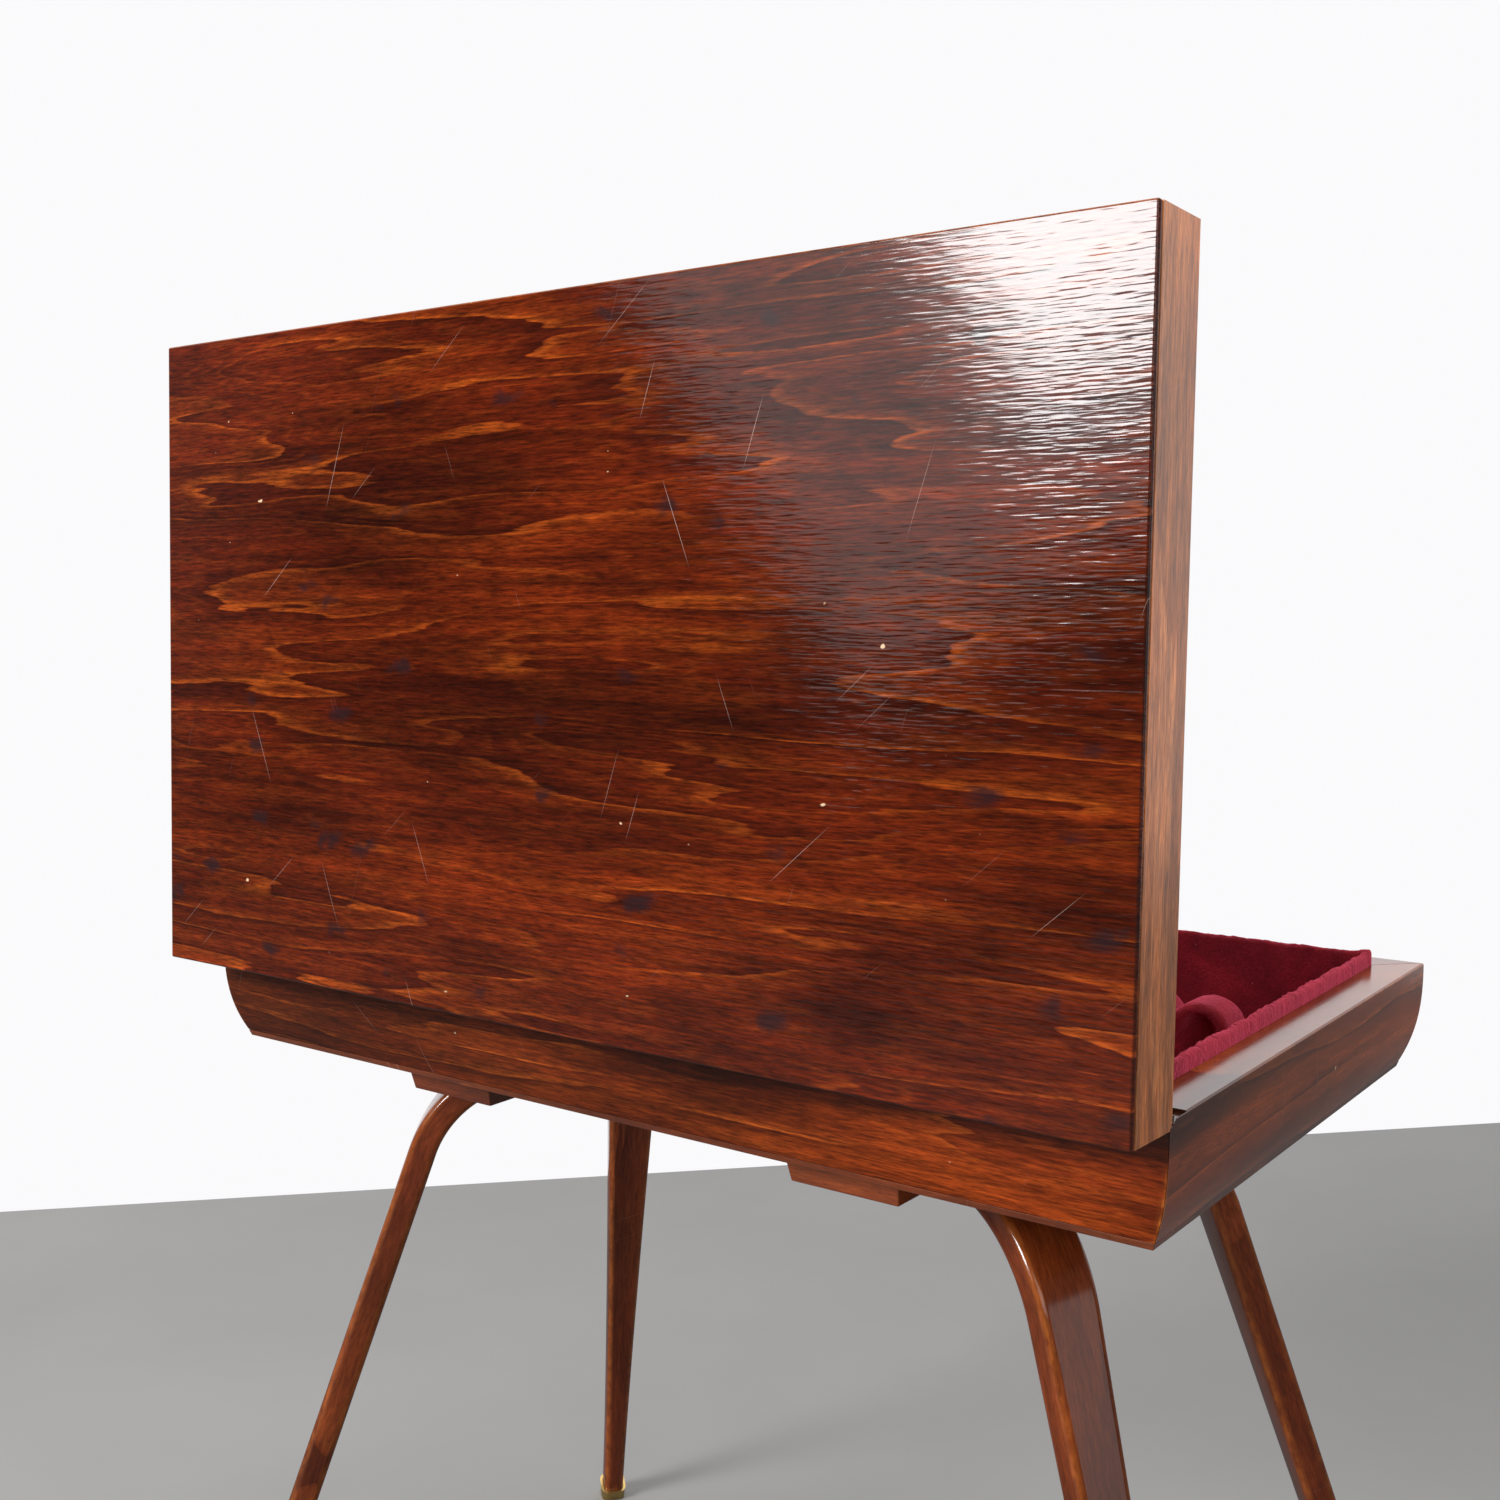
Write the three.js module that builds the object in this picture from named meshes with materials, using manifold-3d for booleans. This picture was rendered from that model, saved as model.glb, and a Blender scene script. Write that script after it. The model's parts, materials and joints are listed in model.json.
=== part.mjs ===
// Cutlery table: a shallow flared case on four bent legs, with a hinged lid that stands open.
// Millimetres, +Z up, floor at z = 0. +X is the right of a person at the front, the front faces -Y.
import * as THREE from 'three';
import { mergeVertices } from 'three/addons/utils/BufferGeometryUtils.js';
import Module from 'manifold-3d';

const wasm = await Module();
wasm.setup();

// Driving dimensions
const CASE_W = 610;
const CASE_D = 358;
const RIM_Z = 523;
const CASE_H = 59;
const GAP = 0.3;
const ROUND_GAP = GAP + 0.05;
const OVERCUT = 5;

const RAIL_T = 22;
const TUCK = 9.3;
const TUCK_POWER = 2.75;
const ARRIS = 0.8;
const PANEL_T = 3.5;
const CASE_CHAMFER = { back: 7.6, down: 4.9 };

const LINER_T = 5;
const LINER_PROUD = 8;
const LINER_FLOOR_T = 4;

const LID_T = 39;
const LID_TOP_T = 3.5;
const LID_RAIL_T = 18.5;
const LID_GAP = 2.3;
const LID_BACK = 0.5;
const LID_LINING_T = 4;
const LID_EASE = 1.2;
const LID_CHAMFER = { back: 3.2, up: 2.2 };
const LID_OPEN = THREE.MathUtils.degToRad(88);

const PIN_IN = 4.9;
const PIN_DROP = 0.2;
const PIN_R = 0.55;
const KNUCKLE_R = 1.45;
const KNUCKLE_BORE = 0.85;
const KNUCKLES = 15;
const KNUCKLE_END = 0.5;
const PIN_END = 0.6;
const LEAF_T = 1;
const LEAF_W = 11;
const LEAF_END = 6;
const LEAF_LAP = 0.5;
const LEAF_SCREWS = 5;
const LEAF_SCREW_IN = 30;

const BATTEN_X = 133;
const BATTEN_W = 61;
const BATTEN_T = 14;
const BATTEN_END = 25;
const BATTEN_BEVEL = 3.5;
const BATTEN_SCREWS = 3;
const BATTEN_SCREW_IN = 50;

const LEG_X = 204.5;
const LEG_Y = 88;
const LEG_SPLAY = THREE.MathUtils.degToRad(19.6);
const LEG_BEND_R = 84.3;
const LEG_TOP_IN = -100;
const LEG_T = 17;
const LEG_HALF_FOOT = 7.5;
const LEG_HALF_FLARE = 12.1;
const LEG_FLARE_POWER = 1.43;
const LEG_CORNER = 4.4;
const LEG_SCREWS = [-64, -88];
const LEG_SCREW_SUNK = 0.2;

const TIP_H = 17;
const TIP_WALL = 1.2;
const TIP_SOLE = 6;

const REST_Y = [-230, -78];
const REST_D = 28;
const REST_DROP = 6;
const REST_HUMPS = 15;
const REST_PITCH = 32.7;
const REST_NOTCH = 12;
const SCOOP = { halfW: 10, depth: 15, halfH: 13, below: 6 };

// Levels and faces that follow from them
const BASE_Z = RIM_Z - CASE_H;
const RAIL_Z = BASE_Z + PANEL_T + GAP;
const FLOOR_Z = RAIL_Z + LINER_FLOOR_T;
const BATTEN_Z = BASE_Z - GAP - BATTEN_T;
const LEG_TOP_Z = BATTEN_Z - GAP;
const LID_Z = RIM_Z + LID_GAP;
const BACK_Y = CASE_D / 2;
const PIN_Y = BACK_Y - PIN_IN;
const PIN_Z = RIM_Z - PIN_DROP;
const WELL_W = CASE_W - 2 * RAIL_T - 2 * GAP;
const WELL_D = CASE_D - 2 * RAIL_T - 2 * GAP;

const WOOD = { color: 0x5a2a17, roughness: 0.3, metalness: 0 };
const WOOD_LIGHT = { color: 0x8a5a3c, roughness: 0.45, metalness: 0 };
const VELVET = { color: 0x8c1f38, roughness: 0.95, metalness: 0 };
const BRASS = { color: 0xb08d3e, roughness: 0.3, metalness: 1 };
const STEEL = { color: 0x6f6a62, roughness: 0.45, metalness: 1 };

const table = new THREE.Group();

function place(name, geometry, look, parent = table) {
  const mesh = new THREE.Mesh(geometry, new THREE.MeshStandardMaterial(look));
  mesh.name = name;
  parent.add(mesh);
  return mesh;
}

// Booleans
function solid(geometry) {
  const bare = geometry.index ? geometry.toNonIndexed() : geometry.clone();
  bare.deleteAttribute('normal');
  bare.deleteAttribute('uv');
  const merged = mergeVertices(bare, 1e-4);
  return new wasm.Manifold(new wasm.Mesh({
    numProp: 3,
    vertProperties: merged.attributes.position.array,
    triVerts: Uint32Array.from(merged.index.array),
  }));
}

function surface(manifold) {
  const mesh = manifold.getMesh();
  const geometry = new THREE.BufferGeometry();
  geometry.setAttribute('position', new THREE.BufferAttribute(mesh.vertProperties, 3));
  geometry.setIndex(new THREE.BufferAttribute(mesh.triVerts, 1));
  return geometry;
}

function cut(geometry, tools) {
  return surface(tools.reduce((body, tool) => body.subtract(solid(tool)), solid(geometry)));
}

function join(pieces) {
  return surface(pieces.map(solid).reduce((body, piece) => body.add(piece)));
}

// Basic shapes
function box(x0, x1, y0, y1, z0, z1) {
  const shape = new THREE.BoxGeometry(x1 - x0, y1 - y0, z1 - z0);
  return shape.translate((x0 + x1) / 2, (y0 + y1) / 2, (z0 + z1) / 2);
}

function rod(radius, x0, x1, y, z) {
  const shape = new THREE.CylinderGeometry(radius, radius, x1 - x0, 16);
  return shape.rotateZ(Math.PI / 2).translate((x0 + x1) / 2, y, z);
}

function hole(radius, x, y, z0, z1) {
  const shape = new THREE.CylinderGeometry(radius, radius, z1 - z0, 16);
  return shape.rotateX(Math.PI / 2).translate(x, y, (z0 + z1) / 2);
}

function outline(points) {
  return new THREE.Shape(points.map(([x, y]) => new THREE.Vector2(x, y)));
}

function slab(points, depth) {
  return new THREE.ExtrudeGeometry(outline(points), { depth, bevelEnabled: false });
}

// A prism along X from a section in (y, z)
function prismX(points, x0, x1) {
  const shape = slab(points, x1 - x0);
  shape.applyMatrix4(new THREE.Matrix4().set(0, 0, 1, x0, 1, 0, 0, 0, 0, 1, 0, 0, 0, 0, 0, 1));
  return shape;
}

// A bar along X with mitred ends. Section points are (distance in from the outer face, height),
// and the outer face looks along -Y at y = -depth / 2.
function mitredBar(section, length, depth) {
  const shape = slab(section, 1);
  const at = shape.attributes.position;
  const trim = GAP * Math.SQRT1_2;
  for (let i = 0; i < at.count; i += 1) {
    const inset = at.getX(i);
    const height = at.getY(i);
    const end = at.getZ(i) > 0.5 ? 1 : -1;
    at.setXYZ(i, end * (length / 2 - inset - trim), inset - depth / 2, height);
  }
  return shape;
}

// The four bars of a mitred frame, as front, right, back and left
function mitredFrame(section, width, depth) {
  const bars = {};
  ['front', 'right', 'back', 'left'].forEach((side, quarter) => {
    const across = quarter % 2 === 1;
    const length = across ? depth : width;
    const reach = across ? width : depth;
    bars[side] = mitredBar(section, length, reach).rotateZ(quarter * Math.PI / 2);
  });
  return bars;
}

// Countersunk screws point along +Z, with the slotted head at z = 0. The slot's sizes are parts of
// the head's radius and height.
const LEG_SCREW = { headR: 4, headH: 2.4, shankR: 1.9, length: 26 };
const BATTEN_SCREW = { headR: 3.2, headH: 1.8, shankR: 1.6, length: 13 };
const HINGE_SCREW = { headR: 2, headH: 0.9, shankR: 1, length: 9 };
const SLOT = { halfW: 0.12, depth: 0.4 };
const BORE_SPARE = 1;

function screw({ headR, headH, shankR, length }) {
  const profile = [[0, 0], [headR, 0], [shankR, headH], [shankR, length - 2 * shankR], [0, length]];
  const shape = new THREE.LatheGeometry(profile.map(([r, h]) => new THREE.Vector2(r, h)), 12);
  const slotW = headR * SLOT.halfW;
  const slot = box(-headR, headR, -slotW, slotW, -OVERCUT, headH * SLOT.depth);
  return cut(shape.rotateX(Math.PI / 2), [slot]);
}

// The hole one of those screws sits in
function countersink({ headR, headH, shankR, length }) {
  const profile = [
    [0, -OVERCUT],
    [headR + ROUND_GAP, -OVERCUT],
    [headR + ROUND_GAP, 0],
    [shankR + ROUND_GAP, headH + ROUND_GAP],
    [shankR + ROUND_GAP, length],
    [0, length],
  ];
  const shape = new THREE.LatheGeometry(profile.map(([r, h]) => new THREE.Vector2(r, h)), 12);
  return shape.rotateX(Math.PI / 2);
}

// Hinge positions shared by the leaves, the pin and the wood around them
const leafX = CASE_W / 2 - LEAF_END;
const leafNear = PIN_Y - KNUCKLE_R - ROUND_GAP;
const leafFar = leafNear - LEAF_W;
const leafMid = (leafNear + leafFar) / 2;
const leafTopZ = RIM_Z - GAP;
const lidLeafZ = LID_Z - GAP - LEAF_T;

function spread(count, reach) {
  return Array.from({ length: count }, (_, i) => reach * (2 * i / (count - 1) - 1));
}

const leafScrewX = spread(LEAF_SCREWS, leafX - LEAF_SCREW_IN);

// Case
function railSection() {
  const steps = 12;
  const height = RIM_Z - ARRIS - RAIL_Z;
  const curve = Array.from({ length: steps + 1 }, (_, i) => i / steps).map((k) => (
    [TUCK * k ** TUCK_POWER, RIM_Z - ARRIS - k * height]
  ));
  return [[RAIL_T, RIM_Z], [ARRIS, RIM_Z], ...curve, [RAIL_T, RAIL_Z]];
}

// The bevel behind the hinge, which the open lid's bevel rests on
function caseChamfer() {
  const { back, down } = CASE_CHAMFER;
  return prismX([
    [BACK_Y - back, RIM_Z],
    [BACK_Y + OVERCUT, RIM_Z - down * (1 + OVERCUT / back)],
    [BACK_Y + OVERCUT, RIM_Z + OVERCUT],
    [BACK_Y - back, RIM_Z + OVERCUT],
  ], -CASE_W, CASE_W);
}

function buildCase() {
  const bars = mitredFrame(railSection(), CASE_W, CASE_D);
  const chamfer = caseChamfer();
  const groove = rod(KNUCKLE_R + ROUND_GAP, -CASE_W, CASE_W, PIN_Y, PIN_Z);
  const rebate = box(-leafX - GAP, leafX + GAP, leafFar - GAP, PIN_Y,
    leafTopZ - LEAF_T - GAP, RIM_Z + OVERCUT);
  const boreZ = leafTopZ - HINGE_SCREW.length - BORE_SPARE;
  const bore = leafScrewX.map((x) => hole(HINGE_SCREW.shankR + GAP, x, leafMid, boreZ, RIM_Z));

  place('case_rail_front', bars.front, WOOD);
  place('case_rail_back', cut(bars.back, [chamfer, groove, rebate, ...bore]), WOOD);
  place('case_rail_left', cut(bars.left, [chamfer, groove, rebate]), WOOD);
  place('case_rail_right', cut(bars.right, [chamfer, groove, rebate]), WOOD);

  const halfW = CASE_W / 2 - TUCK;
  const halfD = CASE_D / 2 - TUCK;
  const panel = box(-halfW, halfW, -halfD, halfD, BASE_Z, BASE_Z + PANEL_T);
  const holes = battenScrewSpots().map(({ x, y }) => (
    countersink(BATTEN_SCREW).rotateX(Math.PI).translate(x, y, BASE_Z + PANEL_T)
  ));
  place('case_bottom_panel', cut(panel, holes), WOOD);
}

// Velvet liner and cutlery rests
function buildLiner() {
  const top = RIM_Z + LINER_PROUD;
  const round = LINER_T / 2;
  const steps = 6;
  const crown = Array.from({ length: steps + 1 }, (_, i) => Math.PI * i / steps).map((a) => (
    [round + round * Math.cos(a), top - round + round * Math.sin(a)]
  ));
  const section = [[0, FLOOR_Z + GAP], [LINER_T, FLOOR_Z + GAP], ...crown];
  const walls = mitredFrame(section, WELL_W, WELL_D);
  for (const side of ['front', 'right', 'back', 'left']) {
    place(`liner_wall_${side}`, walls[side], VELVET);
  }
  const floorZ = FLOOR_Z - LINER_FLOOR_T + GAP;
  place('liner_floor', box(-WELL_W / 2, WELL_W / 2, -WELL_D / 2, WELL_D / 2, floorZ, FLOOR_Z), VELVET);
}

// A bar with a row of humps, and a hollow under each of them on the rear side
function restBar() {
  const half = REST_HUMPS * REST_PITCH / 2;
  const top = RIM_Z - REST_DROP;
  const bottom = FLOOR_Z + GAP;
  const steps = 8;
  const crest = Array.from({ length: REST_HUMPS * steps + 1 }, (_, i) => {
    const lift = Math.sqrt(Math.abs(Math.sin(Math.PI * i / steps)));
    return [half - i * REST_PITCH / steps, top - REST_NOTCH * (1 - lift)];
  });
  const bar = slab([[-half, bottom], [half, bottom], ...crest], REST_D);
  bar.rotateX(Math.PI / 2).translate(0, REST_D / 2, 0);
  const scoops = spread(REST_HUMPS, half - REST_PITCH / 2).map((x) => (
    new THREE.SphereGeometry(1, 12, 8)
      .scale(SCOOP.halfW, SCOOP.depth, SCOOP.halfH)
      .translate(x, REST_D / 2, top - SCOOP.below - SCOOP.halfH)
  ));
  return cut(bar, scoops);
}

function buildRests() {
  ['front', 'rear'].forEach((row, i) => {
    const rest = place(`rest_bar_${row}`, restBar(), VELVET);
    rest.position.y = BACK_Y + REST_Y[i];
  });
}

// Battens
function battenScrewSpots() {
  const spots = [];
  for (const side of [-1, 1]) {
    for (const y of spread(BATTEN_SCREWS, CASE_D / 2 - BATTEN_SCREW_IN)) {
      spots.push({ side, x: side * BATTEN_X, y });
    }
  }
  return spots;
}

function batten(x) {
  const halfTop = BATTEN_W / 2 + BATTEN_BEVEL / 2;
  const endTop = CASE_D / 2 - BATTEN_END + BATTEN_BEVEL;
  const bar = new THREE.BoxGeometry(2, 2, 2);
  const at = bar.attributes.position;
  for (let i = 0; i < at.count; i += 1) {
    const low = at.getZ(i) < 0;
    const half = low ? BATTEN_W / 2 : halfTop;
    const end = low ? endTop - BATTEN_BEVEL : endTop;
    at.setXYZ(i, x + at.getX(i) * half, at.getY(i) * end, low ? BATTEN_Z : BASE_Z - GAP);
  }
  return bar;
}

function buildBattens() {
  const legScrewEnd = LEG_TOP_Z - LEG_T + LEG_SCREW_SUNK + LEG_SCREW.length;
  const panelScrewEnd = BASE_Z + PANEL_T - BATTEN_SCREW.length;
  for (const [name, side] of [['left', -1], ['right', 1]]) {
    const x = side * BATTEN_X;
    const legSpots = LEGS.filter((leg) => leg.sx === side).flatMap(legScrewSpots);
    const legBores = legSpots.map((spot) => (
      hole(LEG_SCREW.shankR + GAP, spot.x, spot.y, BATTEN_Z - OVERCUT, legScrewEnd + BORE_SPARE)
    ));
    const panelSpots = battenScrewSpots().filter((spot) => spot.side === side);
    const panelBores = panelSpots.map((spot) => (
      hole(BATTEN_SCREW.shankR + GAP, spot.x, spot.y, panelScrewEnd - BORE_SPARE, BASE_Z)
    ));
    place(`batten_${name}`, cut(batten(x), [...legBores, ...panelBores]), WOOD);
  }
  battenScrewSpots().forEach(({ x, y }, i) => {
    const piece = place(`batten_screw_${i + 1}`, screw(BATTEN_SCREW), STEEL);
    piece.rotation.x = Math.PI;
    piece.position.set(x, y, BASE_Z + PANEL_T);
  });
}

// Legs. Each is drawn in its own plane: u runs outward from the leg's base point, z up.
// The legs are not all turned alike: the back left one stands nearer to the long side.
const LEGS = [
  { name: 'back_right', sx: 1, sy: 1, turn: 40.7 },
  { name: 'back_left', sx: -1, sy: 1, turn: 27.8 },
  { name: 'front_left', sx: -1, sy: -1, turn: 44.4 },
  { name: 'front_right', sx: 1, sy: -1, turn: 40.7 },
];

function outward({ sx, sy, turn }) {
  const angle = THREE.MathUtils.degToRad(turn);
  return new THREE.Vector3(sx * Math.cos(angle), sy * Math.sin(angle), 0);
}

function legBase({ sx, sy }) {
  return new THREE.Vector3(sx * LEG_X, sy * LEG_Y, 0);
}

function legHalfWidth(z) {
  const up = THREE.MathUtils.clamp(z / BASE_Z, 0, 1);
  return LEG_HALF_FOOT + LEG_HALF_FLARE * up ** LEG_FLARE_POWER;
}

// Stations along the outer face: point (u, z) and the outward normal
function legPath() {
  const cos = Math.cos(LEG_SPLAY);
  const sin = Math.sin(LEG_SPLAY);
  const centreZ = LEG_TOP_Z - LEG_BEND_R;
  const centreU = (BASE_Z * sin - LEG_BEND_R - centreZ * sin) / cos;
  const path = [{ u: LEG_TOP_IN, z: LEG_TOP_Z, nu: 0, nz: 1 }];
  const bends = 12;
  const stretches = 12;
  for (let i = 0; i <= bends; i += 1) {
    const a = Math.PI / 2 + (LEG_SPLAY - Math.PI / 2) * i / bends;
    const nu = Math.cos(a);
    const nz = Math.sin(a);
    path.push({ u: centreU + LEG_BEND_R * nu, z: centreZ + LEG_BEND_R * nz, nu, nz });
  }
  const last = path[path.length - 1];
  const run = (last.z + LEG_T) / cos;
  for (let i = 1; i <= stretches; i += 1) {
    const s = run * i / stretches;
    path.push({ u: last.u + s * sin, z: last.z - s * cos, nu: cos, nz: sin });
  }
  return path;
}

// A rounded section of half width w, grown all round by grow
function legSection(w, grow) {
  const corner = LEG_CORNER + grow;
  const halfW = w + grow;
  const halfT = LEG_T / 2 + grow;
  const steps = 3;
  const points = [];
  for (const [cx, cy, start] of [[1, 1, 0], [-1, 1, 1], [-1, -1, 2], [1, -1, 3]]) {
    for (let i = 0; i <= steps; i += 1) {
      const a = (start + i / steps) * Math.PI / 2;
      points.push([
        cx * (halfW - corner) + corner * Math.cos(a),
        cy * (halfT - corner) + corner * Math.sin(a) - LEG_T / 2,
      ]);
    }
  }
  return points;
}

// Skins a closed body over rings of equal length, with flat fans as end caps
function loft(rings) {
  const count = rings[0].length;
  const position = rings.flat().flatMap((p) => [p.x, p.y, p.z]);
  const index = [];
  for (let r = 0; r + 1 < rings.length; r += 1) {
    for (let i = 0; i < count; i += 1) {
      const a = r * count + i;
      const b = r * count + (i + 1) % count;
      index.push(a, b, b + count, a, b + count, a + count);
    }
  }
  const end = (rings.length - 1) * count;
  for (let i = 1; i + 1 < count; i += 1) {
    index.push(0, i + 1, i, end, end + i, end + i + 1);
  }
  const shape = new THREE.BufferGeometry();
  shape.setAttribute('position', new THREE.Float32BufferAttribute(position, 3));
  shape.setIndex(index);
  return shape;
}

function legBody(leg, grow, topZ) {
  const out = outward(leg);
  const side = new THREE.Vector3(-out.y, out.x, 0);
  const base = legBase(leg);
  const path = legPath().filter((p) => p.z < topZ);
  const rings = path.map(({ u, z, nu, nz }) => (
    legSection(legHalfWidth(z), grow).map(([across, depth]) => (
      base.clone()
        .addScaledVector(out, u + depth * nu)
        .addScaledVector(side, across)
        .add(new THREE.Vector3(0, 0, z + depth * nz))
    ))
  ));
  return loft(rings);
}

function legScrewSpots(leg) {
  return LEG_SCREWS.map((u) => legBase(leg).addScaledVector(outward(leg), u));
}

// Everything between two heights
function layer(z0, z1) {
  return box(-CASE_W, CASE_W, -CASE_W, CASE_W, z0, z1);
}

function buildLegs() {
  const underside = LEG_TOP_Z - LEG_T;
  const wellBelow = -2 * LEG_T;
  const wellAboveTip = TIP_H + 4 * LEG_T;
  for (const leg of LEGS) {
    const spots = legScrewSpots(leg);
    const sinks = spots.map(({ x, y }) => countersink(LEG_SCREW).translate(x, y, underside));
    const tipEnd = layer(wellBelow, TIP_SOLE + GAP);
    place(`leg_${leg.name}`, cut(legBody(leg, 0, RIM_Z), [...sinks, tipEnd]), WOOD);

    const ground = layer(wellBelow, 0);
    const above = layer(TIP_H, RIM_Z);
    const socket = cut(legBody(leg, GAP, wellAboveTip), [layer(wellBelow, TIP_SOLE)]);
    const shell = legBody(leg, TIP_WALL + GAP, wellAboveTip);
    place(`foot_tip_${leg.name}`, cut(shell, [ground, above, socket]), BRASS);

    spots.forEach(({ x, y }, i) => {
      const piece = place(`leg_screw_${leg.name}_${i + 1}`, screw(LEG_SCREW), STEEL);
      piece.position.set(x, y, underside + LEG_SCREW_SUNK);
    });
  }
}

// Lid, drawn closed and then turned open about the hinge pin
const lid = new THREE.Group();

// The bevel on the lid's back edge
function lidChamfer() {
  const { back, up } = LID_CHAMFER;
  const edge = BACK_Y - LID_BACK;
  return prismX([
    [edge - back, LID_Z],
    [edge - back, LID_Z - OVERCUT],
    [edge + OVERCUT, LID_Z - OVERCUT],
    [edge + OVERCUT, LID_Z + up * (1 + OVERCUT / back)],
  ], -CASE_W, CASE_W);
}

// The veneered panel, its upper edges eased
function lidPanel(halfW, halfD) {
  const ring = (inset, z) => [[1, 1], [-1, 1], [-1, -1], [1, -1]].map(([x, y]) => (
    new THREE.Vector3(x * (halfW - inset), y * (halfD - inset), z)
  ));
  return loft([ring(0, 0), ring(0, LID_TOP_T - LID_EASE), ring(LID_EASE, LID_TOP_T)]);
}

function buildLid() {
  const lidD = CASE_D - LID_BACK;
  const frameTop = LID_Z + LID_T - LID_TOP_T - GAP;
  const section = [[LID_RAIL_T, frameTop], [0, frameTop], [0, LID_Z], [LID_RAIL_T, LID_Z]];
  const bars = mitredFrame(section, CASE_W, lidD);
  const shift = -LID_BACK / 2;
  for (const bar of Object.values(bars)) {
    bar.translate(0, shift, 0);
  }
  const chamfer = lidChamfer();
  const boreZ = lidLeafZ + HINGE_SCREW.length + BORE_SPARE;
  const bore = leafScrewX.map((x) => (
    hole(HINGE_SCREW.shankR + GAP, x, leafMid, LID_Z - OVERCUT, boreZ)
  ));
  place('lid_rail_front', bars.front, WOOD_LIGHT, lid);
  place('lid_rail_back', cut(bars.back, [chamfer, ...bore]), WOOD_LIGHT, lid);
  place('lid_rail_left', cut(bars.left, [chamfer]), WOOD_LIGHT, lid);
  place('lid_rail_right', cut(bars.right, [chamfer]), WOOD_LIGHT, lid);

  const panel = lidPanel(CASE_W / 2, lidD / 2);
  place('lid_top_panel', panel.translate(0, shift, frameTop + GAP), WOOD, lid);

  const innerW = CASE_W / 2 - LID_RAIL_T - GAP;
  const innerD = lidD / 2 - LID_RAIL_T - GAP;
  const lining = box(-innerW, innerW, -innerD, innerD, frameTop - LID_LINING_T, frameTop);
  place('lid_lining', lining.translate(0, shift, 0), VELVET, lid);
}

// Piano hinge: knuckles take turns between the case leaf and the lid leaf
function leaf(odd, z0, tabZ0, tabZ1) {
  const pieces = [box(-leafX, leafX, leafFar, leafNear, z0, z0 + LEAF_T)];
  const full = CASE_W - 2 * KNUCKLE_END;
  const pitch = full / KNUCKLES;
  for (let i = odd; i < KNUCKLES; i += 2) {
    const x0 = -full / 2 + i * pitch + GAP / 2;
    const x1 = x0 + pitch - GAP;
    const inX0 = Math.max(x0, -leafX);
    const inX1 = Math.min(x1, leafX);
    pieces.push(rod(KNUCKLE_R, x0, x1, PIN_Y, PIN_Z));
    pieces.push(box(inX0, inX1, leafNear - LEAF_LAP, PIN_Y, tabZ0, tabZ1));
  }
  const bore = rod(KNUCKLE_BORE, -CASE_W, CASE_W, PIN_Y, PIN_Z);
  return cut(join(pieces), [bore]);
}

function buildHinge() {
  const sinkUp = leafScrewX.map((x) => (
    countersink(HINGE_SCREW).rotateX(Math.PI).translate(x, leafMid, leafTopZ)
  ));
  const caseLeaf = leaf(0, leafTopZ - LEAF_T, leafTopZ - LEAF_T, leafTopZ);
  place('hinge_leaf_case', cut(caseLeaf, sinkUp), BRASS);
  const pinX = CASE_W / 2 - PIN_END;
  place('hinge_pin', rod(PIN_R, -pinX, pinX, PIN_Y, PIN_Z), STEEL);

  const sinkDown = leafScrewX.map((x) => countersink(HINGE_SCREW).translate(x, leafMid, lidLeafZ));
  const lidLeaf = leaf(1, lidLeafZ, PIN_Z + KNUCKLE_R / 2, lidLeafZ + LEAF_T);
  place('hinge_leaf_lid', cut(lidLeaf, sinkDown), BRASS, lid);

  leafScrewX.forEach((x, i) => {
    const low = place(`hinge_screw_case_${i + 1}`, screw(HINGE_SCREW), BRASS);
    low.rotation.x = Math.PI;
    low.position.set(x, leafMid, leafTopZ);
    const high = place(`hinge_screw_lid_${i + 1}`, screw(HINGE_SCREW), BRASS, lid);
    high.position.set(x, leafMid, lidLeafZ);
  });
}

buildCase();
buildLiner();
buildRests();
buildBattens();
buildLegs();
buildLid();
buildHinge();

const pivot = new THREE.Group();
lid.position.set(0, -PIN_Y, -PIN_Z);
pivot.add(lid);
pivot.position.set(0, PIN_Y, PIN_Z);
pivot.rotation.x = -LID_OPEN;
table.add(pivot);

// Centre the open table over the origin
table.updateMatrixWorld(true);
const middle = new THREE.Box3().setFromObject(table, true).getCenter(new THREE.Vector3());
table.position.set(-middle.x, -middle.y, 0);

export default table;
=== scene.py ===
"""Looks for the cutlery table: veneered case and lid, bent legs, velvet lining. Metres, Z up."""
import json
import math

import bmesh
import bpy
from mathutils import Matrix, Vector, noise


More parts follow.
